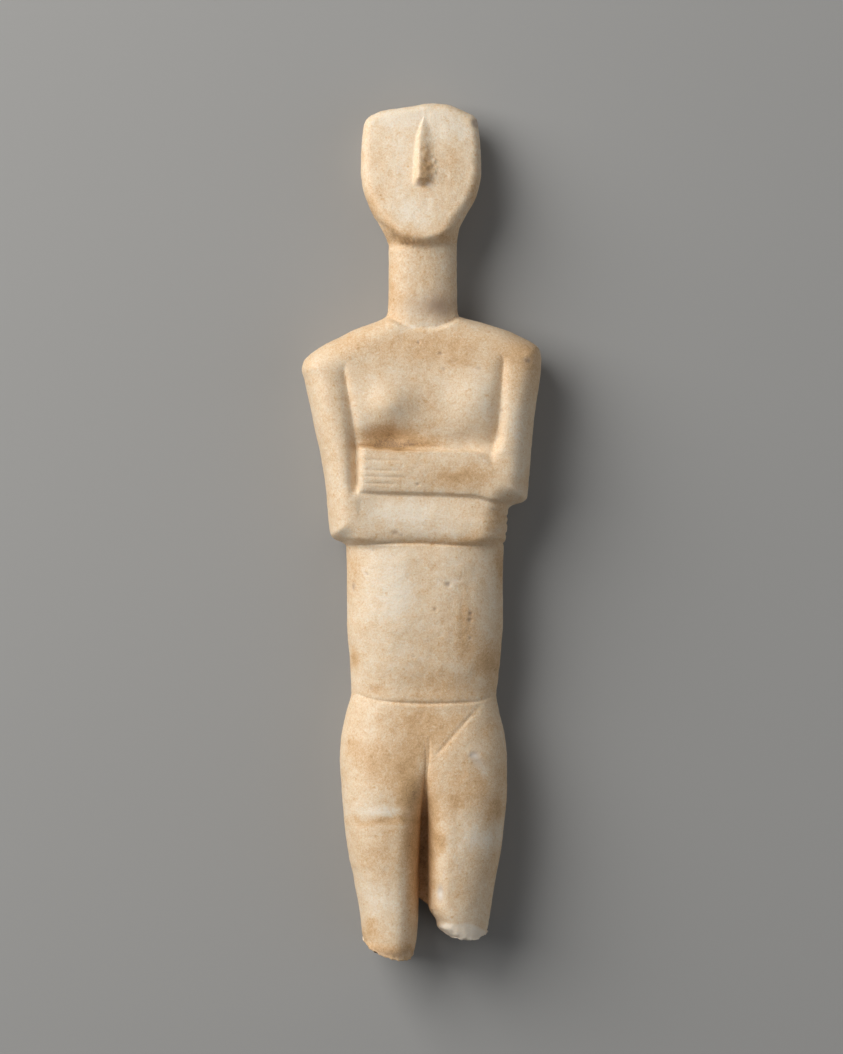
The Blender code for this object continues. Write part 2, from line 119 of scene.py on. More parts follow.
floor_mesh = bpy.data.meshes.new("floor")
half = FLOOR_SIZE / 2
corners = [(-half, -half, 0), (half, -half, 0), (half, half, 0), (-half, half, 0)]
floor_mesh.from_pydata(corners, [], [(0, 1, 2, 3)])
floor = bpy.data.objects.new("floor", floor_mesh)
bpy.context.scene.collection.objects.link(floor)
board = bpy.data.materials.new("grey_board")
board.use_nodes = True
board.node_tree.nodes["Principled BSDF"].inputs["Base Color"].default_value = FLOOR_GREY
board.node_tree.nodes["Principled BSDF"].inputs["Roughness"].default_value = 0.9
floor.data.materials.append(board)

# %% Light
KEY_PLACE, KEY_SIZE, KEY_WATTS = (-0.95, 0.66, 0.78), 1.3, 27.5
FILL_PLACE, FILL_SIZE, FILL_WATTS = (1.35, -0.35, 0.8), 1.6, 4.5
SKY_STRENGTH = 0.1


def softbox(name, place, size, watts, colour):
    """Square area light at place, turned to face the middle of the figure."""
    lamp = bpy.data.lights.new(name, "AREA")
    lamp.shape, lamp.size = "SQUARE", size
    lamp.energy, lamp.color = watts, colour
    light = bpy.data.objects.new(name, lamp)
    light.location = place
    bpy.context.scene.collection.objects.link(light)
    towards = -light.location
    light.rotation_euler = towards.to_track_quat("-Z", "Y").to_euler()
    return light


softbox("key", KEY_PLACE, KEY_SIZE, KEY_WATTS, (1.0, 0.985, 0.96))
softbox("fill", FILL_PLACE, FILL_SIZE, FILL_WATTS, (0.97, 0.98, 1.0))

world = bpy.data.worlds.new("soft_sky")
world.use_nodes = True
world.node_tree.nodes["Background"].inputs["Color"].default_value = (0.9, 0.95, 1.0, 1)
world.node_tree.nodes["Background"].inputs["Strength"].default_value = SKY_STRENGTH
bpy.context.scene.world = world
bpy.context.scene.view_settings.view_transform = "Standard"

# %% [markdown]
# ## The outline
#
# Seen from the front, the figure is a flat shape with a clear edge. Its two sides are smooth curves
# through a few stations, and the crown is a third. The curve through the stations must never swing past
# them, or the slim neck would get ripples, so each piece of it is a cubic whose slope at a station is the
# harmonic mean of the slopes beside it.

# %% Smooth curves through stations


def through(points, place):
    """Value at each place of the smooth curve through (place, value) pairs: cubic Hermite pieces, with
    harmonic mean slopes, level at a peak or a dip."""
    knots, values = np.array(points, float).T
    steps = np.diff(knots)
    slopes = np.diff(values) / steps
    before, after = slopes[:-1], slopes[1:]
    agree = before * after > 0
    inner = np.zeros_like(before)
    inner[agree] = 2 * before[agree] * after[agree] / (before + after)[agree]
    tangents = np.concatenate([slopes[:1], inner, slopes[-1:]])
    place = np.clip(place, knots[0], knots[-1])
    piece = np.clip(np.searchsorted(knots, place) - 1, 0, len(steps) - 1)
    step = steps[piece]
    t = (place - knots[piece]) / step
    return (
        values[piece] * (1 + 2 * t) * (1 - t) ** 2
        + tangents[piece] * step * t * (1 - t) ** 2
        + values[piece + 1] * t**2 * (3 - 2 * t)
        - tangents[piece + 1] * step * t**2 * (1 - t)
    )


LEFT_EDGE = [
    (14, -59), (20, -65), (27, -67.5), (50, -70), (80, -71), (100, -68.5), (117, -63.5), (136, -54.5),
    (150, -46.5), (161, -40.5), (172, -38.5), (225, -38.5), (243, -39.2), (250, -41), (254, -47),
    (260, -63), (266, -80), (272, -91), (284, -115), (296, -132), (303, -138), (313, -140), (324, -137),
    (371, -127), (441, -113), (490, -108.5), (504, -106.5), (510, -102), (515, -91), (518, -88.2),
    (560, -87.2), (610, -87), (640, -84.5), (675, -82.3), (690, -81.8), (700, -84.5), (722, -90),
    (745, -94.2), (768, -95.3), (792, -94), (838, -90.5), (873, -86), (908, -79), (945, -72.5),
    (979, -68.4),
]
RIGHT_EDGE = [
    (14, 60), (20, 65), (27, 66.5), (50, 69), (80, 69.5), (100, 67.2), (117, 61), (136, 50), (150, 43.5),
    (161, 41.5), (172, 41.2), (225, 41.5), (243, 42), (250, 44), (254, 58), (260, 79), (266, 98),
    (272, 112), (280, 128), (286, 136), (292, 139), (300, 140), (313, 139.6), (325, 138), (371, 131.5),
    (441, 125.6), (462, 123.5), (467, 118), (471, 106), (476, 101.5), (500, 100), (512, 98), (518, 96),
    (560, 95), (605, 95.3), (640, 93), (675, 89.5), (692, 87.5), (700, 88.5), (722, 93.5), (745, 98),
    (768, 100), (802, 100), (838, 97), (873, 93), (908, 86.5), (945, 80.5), (973, 76.5),
]
CROWN = [
    (-59, 14), (-47, 8.8), (-32, 6.6), (-19, 4.2), (-8, 2.6), (6, 0), (22, 0.6), (30, 1.4),
    (38, 4), (48, 8.2), (60, 14),
]
FINGER_NOTCHES = [483.5, 491.5, 504, 515]


def left_edge(y):
    return through(LEFT_EDGE, y)


def right_edge(y):
    """Right outline, nicked between the fingers of the hand that lies there."""
    nicks = sum(np.exp(-(((y - notch) / 1.7) ** 2)) for notch in FINGER_NOTCHES)
    return through(RIGHT_EDGE, y) - 1.6 * nicks


def outline(count):
    """The outline as one open line: up the left side, over the crown and down the right side."""
    left_levels = np.linspace(LEFT_EDGE[-1][0], LEFT_EDGE[0][0], count)
    right_levels = np.linspace(RIGHT_EDGE[0][0], RIGHT_EDGE[-1][0], count)
    crown_places = np.linspace(CROWN[0][0], CROWN[-1][0], count // 8)[1:-1]
    return np.concatenate([
        np.stack([left_edge(left_levels), left_levels], 1),
        np.stack([crown_places, through(CROWN, crown_places)], 1),
        np.stack([right_edge(right_levels), right_levels], 1),
    ])


def edge_distance(x, y, count=420):
    """Distance from each place to the outline: the shortest of the distances to all its straight
    segments, taken as one array of places by segments, some hundred rows at a time to save memory."""
    line = outline(count)
    start, along = line[:-1], np.diff(line, axis=0)
    squared = (along**2).sum(axis=1)
    places = np.stack([x.ravel(), y.ravel()], 1)
    nearest = []
    for block in np.array_split(places, 60):
        offset = block[:, None, :] - start[None]
        t = np.clip((offset * along).sum(-1) / squared, 0, 1)
        gap = offset - t[..., None] * along
        nearest.append(np.sqrt((gap**2).sum(-1).min(axis=1)))
    return np.concatenate(nearest).reshape(x.shape)


print("outline of", len(outline(420)), "points")

# %% [markdown]
# ## The grid that follows the carving
#
# The surface is sampled on a grid, but an even grid would cut across every groove and leave saw teeth. So
# some columns follow guides that run down the body: the inner line of each upper arm and the two feet of
# the nose, which further down are the two sides of the cleft between the legs. Some rows follow lines
# that cross the body: the jaw, the base of the neck, the edges of the forearms, the waist and the breaks.

# %% Guides down the body
LEFT_LINE = [
    (0, -40), (117, -38), (172, -24), (250, -26), (313, -89.4), (340, -85.3), (382, -79), (406, -76.6),
    (452, -75.4), (517, -66), (600, -50), (700, -48), (770, -46), (979, -40),
]
RIGHT_LINE = [
    (0, 45), (117, 42), (172, 26), (250, 28), (301, 95.3), (331, 93), (362, 90.6), (401, 86), (414, 82),
    (463, 80), (517, 72), (600, 56), (700, 54), (770, 54), (973, 50),
]
MIDDLE_LEFT = [
    (0, 0), (14, 2.4), (29, -2.4), (46, -6.6), (80, -8.6), (98, -9.6), (120, -6), (172, -5), (700, 0),
    (766, 5), (782, 4), (803, 2), (843, -0.6), (892, -2.9), (936, -3.5), (974, -5.3), (996, -9.4),
]
MIDDLE_RIGHT = [
    (0, 8), (17, 5.3), (37, 11), (59, 13.6), (83, 15.2), (100, 14.6), (120, 10), (172, 7), (700, 12),
    (766, 9), (788, 6.4), (850, 7), (936, 7.6), (944, 10), (956, 17), (962, 18), (967, 22.8), (973, 31),
]

# %% Lines across the body
NOSE_TOP, NOSE_END, CHIN = 16, 98, 163
NECK_TOP, NECK_END = 170, 252
SHOULDER_LEVEL, ELBOW_LEVEL = 313, 478
HIP_TOP, HIP_FULL = 690, 712
CROTCH, DEEP_CLEFT, WEB_END = 766, 806, 936
BETWEEN_LEGS = 12
JAW_DROP, JAW_REACH = 38, 63
NECK_BASE = [(-41, 252), (-20, 262), (-5, 266.5), (15, 265.5), (29, 261), (46, 252)]
UPPER_FOREARM = [(-76, 403), (-29, 407), (47, 408), (70, 410), (82, 414)]
LOWER_FOREARM = [(-76, 456), (8, 458.3), (60, 460.5), (80, 465), (103, 468)]
BELLY_TOP = [(-86, 518), (-38, 515), (-11, 514.4), (43, 517), (96, 518.4)]
WAIST = [(-81, 689), (-47, 698.5), (6, 701.3), (60, 699.6), (88, 692.6)]
LEFT_BREAK = [(-68.4, 979), (-55, 990), (-34, 998), (-25, 1000), (-16, 1000), (-9.4, 996)]
RIGHT_BREAK = [(31, 973), (45, 975.4), (59, 976.6), (72, 973), (76.5, 970)]
WEB_BREAK = [(-4, 928), (1, 932), (8, 937)]
GROIN_LEFT = [(703, -46), (739, -25), (762, -11)]
GROIN_RIGHT = [(703, 68.4), (733, 41.5), (766, 13)]


def jaw_line(x):
    """Lower border of the face: a broad U, CHIN at the middle and JAW_DROP parts higher at its two ends."""
    return CHIN - JAW_DROP * np.minimum(np.abs(x) / JAW_REACH, 1) ** 2


def break_line(x):
    """Lower end of the stumps: the left one for places left of the cleft, the right one beyond it."""
    return np.where(x < BETWEEN_LEGS, through(LEFT_BREAK, x), through(RIGHT_BREAK, x))


def level(value):
    """A straight row."""
    return lambda x: np.full_like(x, value)


def line(points, shift=0):
    """A row or column along the curve through points, shifted by so many parts."""
    return lambda place: through(points, place) + shift


def jaw_row(shift):
    return lambda x: jaw_line(x) + shift


# %% Where the grid's lines go: name, curve, how many lines lead to the next guide, and how they crowd
GAP = 4.5
COLUMN_GUIDES = [
    ("left edge", left_edge, 15, 1.7),
    ("left arm", line(LEFT_LINE, -GAP), 4, 1),
    ("left groove", line(LEFT_LINE), 5, 1),
    ("chest, left", line(LEFT_LINE, GAP), 22, -1.35),
    ("middle, left", line(MIDDLE_LEFT), 11, 1),
    ("middle, right", line(MIDDLE_RIGHT), 22, 1.35),
    ("chest, right", line(RIGHT_LINE, -GAP), 4, 1),
    ("right groove", line(RIGHT_LINE), 4, 1),
    ("right arm", line(RIGHT_LINE, GAP), 16, -1.7),
    ("right edge", right_edge, 0, 1),
]
ROW_GUIDES = [
    ("crown", line(CROWN), 36, 1.3),
    ("brow", level(50), 30, 1),
    ("nose tip", level(NOSE_END - 4), 8, 1),
    ("under the nose", level(NOSE_END + 4), 33, 1),
    ("jaw", jaw_row(-5), 9, 1),
    ("under the jaw", jaw_row(4), 6, 1),
    ("neck", level(NECK_TOP + 5), 40, 1),
    ("above the neck's base", line(NECK_BASE, -5), 12, 1),
    ("below the neck's base", line(NECK_BASE, 5), 32, 1),
    ("shoulders", level(SHOULDER_LEVEL), 58, 1),
    ("above the upper forearm", line(UPPER_FOREARM, -4), 12, 1),
    ("upper forearm", line(UPPER_FOREARM, 4), 44, 1),
    ("above the lower forearm", line(LOWER_FOREARM, -5), 13, 1),
    ("lower forearm", line(LOWER_FOREARM, 6), 9, 1),
    ("elbow", level(ELBOW_LEVEL), 18, 1),
    ("under side of the forearm", line(BELLY_TOP, -12), 16, 1),
    ("belly", line(BELLY_TOP, 4), 106, 1),
    ("above the waist", line(WAIST, -4), 11, 1),
    ("below the waist", line(WAIST, 4), 36, 1),
    ("crotch", level(CROTCH - 8), 30, 1),
    ("deep cleft", level(DEEP_CLEFT), 78, 1),
    ("web's end", line(WEB_BREAK), 32, 1),
    ("break", break_line, 0, 1),
]


def stations(guides):
    """Each grid line as (number of the guide before it, share of the way to the next guide). A crowd over
    1 draws the lines towards the first guide, and a negative one towards the second."""
    lines = []
    for number, (_, _, count, crowd) in enumerate(guides):
        shares = np.arange(count) / max(count, 1)
        shares = shares**crowd if crowd > 0 else 1 - (1 - shares) ** -crowd
        lines += [(number, share) for share in shares]
    return lines + [(len(guides) - 1, 0.0)]


def on_lines(guides, lines, place, axis):
    """Value of every grid line at its own nodes: the two guides beside it, mixed by its share."""
    values = np.stack([curve(place) for _, curve, _, _ in guides] + [place * 0])
    first = np.array([number for number, _ in lines])
    share = np.array([part for _, part in lines])
    rows, columns = np.indices(place.shape)
    own = rows if axis == 0 else columns
    before, after = values[first[own], rows, columns], values[first[own] + 1, rows, columns]
    return before * (1 - share[own]) + after * share[own]


def guide_index(guides, name):
    """Number of the grid line that follows the guide with this name."""
    names = [guide_name for guide_name, _, _, _ in guides]
    return sum(count for _, _, count, _ in guides[:names.index(name)])


def layout():
    """Places (x, y) of all grid nodes. The columns need the level and the rows need the place across, so
    the two are worked out in turn until they settle."""
    columns, rows = stations(COLUMN_GUIDES), stations(ROW_GUIDES)
    x = np.zeros((len(rows), len(columns)))
    y = x
    for _ in range(14):
        y = on_lines(ROW_GUIDES, rows, x, 0)
        x = on_lines(COLUMN_GUIDES, columns, y, 1)
    return x, y


grid_x, grid_y = layout()
print("grid of", grid_x.shape[0], "rows by", grid_x.shape[1], "columns")

# %% [markdown]
# ## Heights
#
# The front and the back are two height maps over the same outline. Each rises from the outline steeply
# and then eases into level stone: over a short way round the crisp face, over half the neck's width, and
# over almost half the belly's. What lies inside that rounding is the carver's relief, made of a few plain
# forms: ramps, bumps and V-shaped cuts.

# %% Plain forms


def ramp(start, end, place):
    """0 before start, 1 after end, and a smooth S between them."""
    t = np.clip((place - start) / (end - start), 0, 1)
    return t * t * (3 - 2 * t)


def rounded(t):
    """Worn edge: 0 at t = 0, rising steeply, then easing into 1 at t = 1 without a line where it stops."""
    return np.sqrt(1 - (1 - np.clip(t, 0, 1)) ** 2.5)


def lower_of(a, b, blend):
    """The lower of two heights, with the ridge where they cross rounded over."""
    near = np.clip(1 - np.abs(a - b) / blend, 0, 1)
    return np.minimum(a, b) - near**2 * blend / 4


def higher_of(a, b, blend):
    return -lower_of(-a, -b, blend)


def bump(x, y, mound):
    """Bell-shaped mound or hollow: (x, y, half-width, half-length, height)."""
    middle_x, middle_y, wide, long, height = mound
    return height * np.exp(-(((x - middle_x) / wide) ** 2) - ((y - middle_y) / long) ** 2)


def groove(across_line, depth, before, after):
    """V-shaped cut with a worn lip, at a signed distance from its line. Its two walls may differ in
    width."""
    width = np.where(across_line < 0, before, after)
    return -depth * np.exp(-np.abs(across_line / width) ** 1.5)


# %% Stations of the heights
FACE_AT_CROWN, FACE_AT_CHIN = 47, 91
NECK_FRONT = 75
FOREARMS = 98
CHEST = [(250, 74), (266, 78), (300, 85), (340, 88), (400, 88), (456, 90)]
ARMS = [(250, 74), (266, 78), (300, 86), (350, 92), (410, 95), (470, 97), (520, 97)]
BELLY = [(510, 89), (540, 92), (600, 94), (650, 92), (690, 88), (720, 90)]
THIGHS = [(690, 88), (730, 92), (770, 97), (810, 100), (860, 100), (940, 96), (1000, 92)]
EDGE_HEIGHT = [
    (0, 30), (100, 50), (150, 56), (178, 46), (250, 44), (300, 40), (500, 42), (700, 42), (1000, 46),
]
BACK = [
    (0, 6), (25, -1), (60, -2), (95, -1), (130, 6), (172, 16), (240, 13), (275, 2), (300, -1.5),
    (390, -1.5), (440, 1), (560, 7), (650, 6), (700, 0), (740, -2), (790, -1.5), (840, 2), (1000, 10),
]
FRONT_ROUND = [
    (0, 9), (120, 15), (160, 22), (250, 20), (300, 30), (508, 32), (522, 76), (700, 80),
    (770, 70), (830, 56), (1000, 48),
]
BACK_ROUND = [
    (0, 34), (60, 50), (172, 42), (250, 36), (300, 32), (510, 34), (520, 60), (700, 66), (1000, 46),
]
NECK_ROUND, NECK_MIDDLE = 42, 44
FORWARD_CLEFT = [
    (738, 0), (766, 4), (785, 8), (803, 16), (825, 32), (850, 46), (880, 52), (936, 50), (1000, 46),
]
REAR_CLEFT = [(690, 0), (720, 4), (780, 8), (830, 15), (880, 23), (936, 26), (1000, 24)]
CLEFT_LEFT_ROUND = [(738, 40), (790, 36), (830, 32), (1000, 28)]
CLEFT_RIGHT_ROUND = [(738, 36), (780, 34), (820, 32), (1000, 27)]
CLEFT_REAR_ROUND = 17
NOSE_HEIGHT, NOSE_LEFT_FLANK, NOSE_RIGHT_FLANK = 14, 0.17, 0.6
BREASTS = [(-38, 354, 25, 24, 11), (62, 352, 30, 32, 9)]
HOLLOWS_UNDER_BREASTS = [(-40, 395, 32, 13, -10), (58, 397, 40, 12, -4)]
SPINE_START, SPINE_END = 270, 700
SPINE_DEPTH, SPINE_WIDTH, BACK_GROOVE_WIDTH = 4, 5, 3.4

# %% [markdown]
# The head is a flat face that leans back, so the crown is the thinnest part. The nose is its only
# feature: a long wedge. Under the jaw the stone is cut away in one slope down to the neck, which is a
# plain round column.

# %% Head and neck


def nose(x, y):
    """Long wedge that starts as nothing under the brow and ends in a short step: a narrow flank on the
    left, a wide one on the right and a worn back between them."""
    left, right = through(MIDDLE_LEFT, y), through(MIDDLE_RIGHT, y)
    share = (x - left) / np.maximum(right - left, 0.1)
    flanks = lower_of(share / NOSE_LEFT_FLANK, (1 - share) / NOSE_RIGHT_FLANK, 0.3)
    flanks = lower_of(flanks, np.ones_like(x), 0.4)
    height = NOSE_HEIGHT * np.clip((y - NOSE_TOP) / (NOSE_END - NOSE_TOP), 0, 1) ** 0.9
    return higher_of(flanks, np.zeros_like(x), 0.5) * height * (1 - ramp(NOSE_END - 9, NOSE_END + 3, y))


def head_front(x, y):
    """Leaning flat face, cut off under the jaw by a slope that runs down to the neck."""
    face = FACE_AT_CROWN + (FACE_AT_CHIN - FACE_AT_CROWN) * y / CHIN - 0.0012 * x**2
    under_jaw = face - 2.2 * (y - jaw_line(x))
    neck = NECK_MIDDLE + (NECK_FRONT - NECK_MIDDLE) * np.sqrt(np.clip(1 - (x / NECK_ROUND) ** 2, 0, 1))
    behind_face = neck - np.maximum(CHIN - y, 0)
    return higher_of(lower_of(face, under_jaw, 13), behind_face, 6) + nose(x, y)


# %% [markdown]
# The chest lies between two upper arms, which long grooves set off. The forearms are two flat bands laid
# across the body, one below the other. The upper one runs out of the right arm and the lower one out of
# the left, and each ends in a hand. Below them come the belly, a cut line at the waist, the flat triangle
# of the groin and two full thighs.

# %% Trunk and hips


def chest_front(x, y):
    """Flat chest with two low breasts between the upper arms, which stand out from it further down."""
    arm_left, arm_right = through(LEFT_LINE, y), through(RIGHT_LINE, y)
    chest = through(CHEST, y) + sum(bump(x, y, mound) for mound in BREASTS + HOLLOWS_UNDER_BREASTS)
    arms = np.maximum(ramp(4, -10, x - arm_left), ramp(-4, 10, x - arm_right)) * ramp(300, 350, y)
    arms = np.maximum(arms, ramp(440, 466, y))
    top = chest + (through(ARMS, y) - chest) * arms
    top += ramp(300, 335, y) * (1 - ramp(444, 466, y)) * groove(x - arm_left, 6, 8, 3.2)
    return top + ramp(286, 316, y) * (1 - ramp(396, 424, y)) * groove(x - arm_right, 5, 7, 5)


def forearms_front(x, y, chest):
    """The two forearms laid over the chest and arms. Each is a ramp at its upper edge, and it fades where
    it runs out of its own upper arm."""
    upper, lower, belly_top = through(UPPER_FOREARM, x), through(LOWER_FOREARM, x), through(BELLY_TOP, x)
    fade = 2 + 22 * ramp(62, 92, x)
    upper_band = FOREARMS - 3 * np.clip((y - (upper + lower) / 2) / 27, -1, 1) ** 2
    top = chest + (upper_band - chest) * ramp(-fade, fade, y - upper) * ramp(-75, -69, x)
    from_elbow = ramp(-98, -36, x)
    lower_band = FOREARMS - 1 - from_elbow * (6 - 4 * ramp(0, 34, y - lower)) - 4 * ramp(66, 104, x)
    beside_arm = ramp(-90, -64, x)
    top += (lower_band - top) * np.maximum(ramp(-2.5, 3.5, y - lower) * beside_arm, ramp(0, 40, y - lower))
    top += beside_arm * groove(y - lower - 1, 1.4, 3, 3)
    return top - 9 * (1 - rounded((belly_top - y) / 20))


def trunk_front(x, y):
    """Chest, arms and forearms, then the belly, which lies a little deeper."""
    top = forearms_front(x, y, chest_front(x, y))
    belly = through(BELLY, y) - 3 * (x / 92) ** 2
    top += (belly - top) * ramp(-1, 3, y - through(BELLY_TOP, x))
    return top + groove(y - through(WAIST, x), 2.2, 2.2, 1.8)


def hips_front(x, y):
    """Two full thighs below the waist, with the flat triangle of the groin between them: cut in along its
    right side, and only dipped along its left one."""
    left_line, right_line = through(GROIN_LEFT, y), through(GROIN_RIGHT, y)
    inside = ramp(22, -12, left_line - x) * ramp(20, -14, x - right_line)
    inside *= 1 - ramp(CROTCH - 16, CROTCH + 24, y)
    top = through(THIGHS, y) - 2 * inside
    incised = ramp(697, 704, y) * (1 - ramp(CROTCH - 12, CROTCH, y))
    top += incised * groove(0.75 * (x - right_line), 1.7, 1.8, 1.6)
    return top + groove(y - through(WAIST, x), 2.2, 2.2, 1.8)


def cleft_share(x, y, left_round, right_round):
    """1 on the web between the legs, falling steeply beside it and then slowly to 0, where each leg is
    full."""
    left, right = through(MIDDLE_LEFT, y), through(MIDDLE_RIGHT, y)
    return 1 - rounded(np.maximum((left - x) / left_round, (x - right) / right_round))


# %% Front and back


def front_height(x, y, edge):
    """Height of the front: head, neck, trunk and thighs, each running into the next."""
    edge_height = through(EDGE_HEIGHT, y)
    rounding = rounded(edge / through(FRONT_ROUND, y))
    head = edge_height + (head_front(x, y) - edge_height) * rounding
    neck = edge_height + (NECK_FRONT - edge_height) * rounded(edge / NECK_ROUND)
    trunk_top = trunk_front(x, y)
    trunk_top += (hips_front(x, y) - trunk_top) * ramp(HIP_TOP, HIP_FULL, y)
    trunk = edge_height + (trunk_top - edge_height) * rounding
    height = head + (neck - head) * ramp(NECK_TOP - 8, NECK_TOP + 6, y)
    base = y - through(NECK_BASE, x)
    height += (trunk - height) * ramp(-3, 4, base) * ramp(NECK_END - 8, NECK_END + 4, y)
    height += ramp(46, 34, np.abs(x - 2)) * groove(base + 1.5, 0.6, 4, 3)
    cleft = cleft_share(x, y, through(CLEFT_LEFT_ROUND, y), through(CLEFT_RIGHT_ROUND, y))
    return height - through(FORWARD_CLEFT, y) * cleft


def back_height(x, y, edge):
    """Height of the back: nearly flat, with the spine and the arms' inner lines as grooves, resting on
    the back of the head, the shoulders and the seat."""
    edge_height = through(EDGE_HEIGHT, y)
    spine = ramp(SPINE_START, SPINE_START + 50, y) * (1 - ramp(SPINE_END - 60, SPINE_END + 20, y))
    bottom = through(BACK, y) - spine * groove(x - 4, SPINE_DEPTH, SPINE_WIDTH, SPINE_WIDTH)
    arms = ramp(SHOULDER_LEVEL + 7, SHOULDER_LEVEL + 37, y) * (1 - ramp(ELBOW_LEVEL, ELBOW_LEVEL + 30, y))
    for arm_line in (LEFT_LINE, RIGHT_LINE):
        bottom -= arms * groove(x - through(arm_line, y), SPINE_DEPTH, BACK_GROOVE_WIDTH, BACK_GROOVE_WIDTH)
    height = edge_height - (edge_height - bottom) * rounded(edge / through(BACK_ROUND, y))
    height += through(REAR_CLEFT, y) * cleft_share(x, y, CLEFT_REAR_ROUND, CLEFT_REAR_ROUND)
    return np.maximum(height, 0)


edge = edge_distance(grid_x, grid_y)
edge[:, 0] = edge[:, -1] = edge[0, :] = 0
front_z = front_height(grid_x, grid_y, edge)
back_z = back_height(grid_x, grid_y, edge)
print("front is", round(float(front_z.max()), 1), "parts above the ground at most")

# %% [markdown]
# ## Marks of the chisel and of time
#
# Four faint cuts part the fingers of the upper hand, and four nicks in the outline those of the lower one.
# Pits, a few scratches and small chips are shallow bumps and grooves too, but each has its own place. The
# stumps are broken: the front of the right one has lost a flake, which left a slanting face.

# %% Cuts, pits and flakes
FINGER_CUTS = [
    (-69, 418.5, -26, 419), (-68, 430, -24, 431.5), (-67, 437.5, -22, 439), (-67, 445.5, -30, 446.5),
]
FINGER_CUT_DEPTH, FINGER_CUT_WIDTH = 0.6, 1.5
NICK_DEPTH, NICK_WIDTH, NICK_SLOPE = 1.4, 1.6, 0.12
SCRATCHES = [
    (82, 476, 100, 480, 1.8, 1.6), (47, 568, 48, 628, 0.5, 1.8), (8.5, 740, 9, 764, 0.35, 1.6),
    (26, 563, 50, 555, 0.5, 1.5), (64, 622, 72, 634, 0.4, 1.4), (-82, 841, -12, 832, 0.5, 5),
    (-73, 402, 22, 403.5, 1.6, 1.6), (52, 620, 60, 600, 0.3, 1.3),
]
PITS = [
    (21.6, 295, 1.8, 1.8, -1.4), (-3, 282, 1.5, 1.5, -1.2), (26, 313, 1.6, 1.6, -1.2),
    (124, 303.5, 2.2, 2.6, -2.2), (-4, 447, 1.6, 1.6, -1.1), (-30, 503, 3.5, 3, -1.2),
    (-24, 506, 2, 2, -0.9), (-56, 523, 1.4, 1.4, -1), (-63, 551, 1.5, 1.5, -1.1),
    (-79, 566, 1.4, 4, -1.8), (16, 591.5, 1.8, 1.8, -1.3), (31, 563, 2.6, 2.4, -1.8),
    (57, 597, 2, 2.2, -1.6), (56, 604, 2.2, 2, -1.6), (57, 625, 1.5, 1.5, -1.1), (-58, 684, 1.4, 1.4, -1),
    (-9, 647, 1.3, 1.3, -0.9), (61, 761, 4, 3.4, -2), (66, 768, 5, 5, -0.8), (22, 921, 2.8, 8, -2.2),
    (55, 309, 2.2, 1.6, -1), (66, 312, 1.8, 1.4, -1), (38, 305, 1.5, 1.5, -0.9),
    (93, 361, 1.4, 1.4, -0.8), (64, 24, 4, 5, -2.6),
]


def scratch(x, y, mark):
    """Shallow cut along a straight line: (x, y) of both ends, depth and half-width."""
    start, end = np.array(mark[:2]), np.array(mark[2:4])
    along = (end - start) / np.linalg.norm(end - start)
    run = (x - start[0]) * along[0] + (y - start[1]) * along[1]
    aside = (x - start[0]) * along[1] - (y - start[1]) * along[0]
    length = np.linalg.norm(end - start)
    return ramp(-2, 3, run) * ramp(2, -3, run - length) * groove(aside, mark[4], mark[5], mark[5])


def marks(x, y):
    """All the cuts, scratches and pits of the front together."""
    fingers = sum(scratch(x, y, (*cut, FINGER_CUT_DEPTH, FINGER_CUT_WIDTH)) for cut in FINGER_CUTS)
    hand = sum(
        ramp(84, 96, x) * groove(y - notch + NICK_SLOPE * (x - 100), NICK_DEPTH, NICK_WIDTH, NICK_WIDTH)
        for notch in FINGER_NOTCHES
    )
    scratches = sum(scratch(x, y, mark) for mark in SCRATCHES)
    return fingers + hand + scratches + sum(bump(x, y, pit) for pit in PITS)


print(len(FINGER_CUTS) + len(FINGER_NOTCHES), "cuts between fingers")
print(len(SCRATCHES), "scratches and", len(PITS), "pits")

# %% Even noise
LATTICE_SIZE, SEED = 48, 20
LATTICE = np.random.default_rng(SEED).uniform(-1, 1, (LATTICE_SIZE, LATTICE_SIZE, LATTICE_SIZE))


def noise(x, y, z, size):
    """Smooth random field between -1 and 1, with patches about `size` parts wide: random values at the
    corners of a lattice, mixed by an S-curve along each of its three edges."""
    place = np.stack([x, y, z], axis=-1) / size
    corner = np.floor(place).astype(int)
    t = place - corner
    t = t * t * (3 - 2 * t)
    total = np.zeros(x.shape)
    for offset in np.ndindex(2, 2, 2):
        weight = np.prod(np.where(offset, t, 1 - t), axis=-1)
        i, j, k = np.moveaxis((corner + offset) % LATTICE_SIZE, -1, 0)
        total += weight * LATTICE[i, j, k]
    return total


# %% Broken places
FLAKE_TOP = [(20, 960), (31, 955), (42, 956), (52, 955), (62, 958), (70, 963), (80, 970)]


def flaked(x, y, z):
    """The flake off the front of the right stump: a slanting face below a crooked line, never above the
    stone."""
    fall = y - through(FLAKE_TOP, x)
    face = 95 - 0.3 * fall + 0.9 * noise(x, y, 0 * x, 9) - 5 * (1 - rounded((break_line(x) - y) / 5))
    return np.where((x > 20) & (fall > -4), lower_of(z, face - 2 * np.minimum(fall, 0), 2), z)


def broken_share(x, y):
    """How ragged the stone is: 1 at the broken ends, under the jaw and on the worn side of the nose."""
    stumps = 1.1 * np.exp(-np.maximum(break_line(x) - y, 0) / 7) * (y > WEB_END - 6)
    jaw = ramp(-3, 4, y - jaw_line(x)) * ramp(NECK_TOP + 3, NECK_TOP - 4, y) * ramp(40, -10, x)
    left, right = through(MIDDLE_LEFT, y), through(MIDDLE_RIGHT, y)
    flank = ramp(0.25, 0.5, (x - left) / (right - left)) * ramp(1.3, 0.9, (x - left) / (right - left))
    worn_nose = flank * ramp(30, 70, y) * ramp(NOSE_END + 6, NOSE_END, y)
    return np.clip(stumps + jaw + 0.9 * worn_nose, 0, 1.5)


front_z += rounded(edge / 6) * marks(grid_x, grid_y)
front_z = flaked(grid_x, grid_y, front_z)

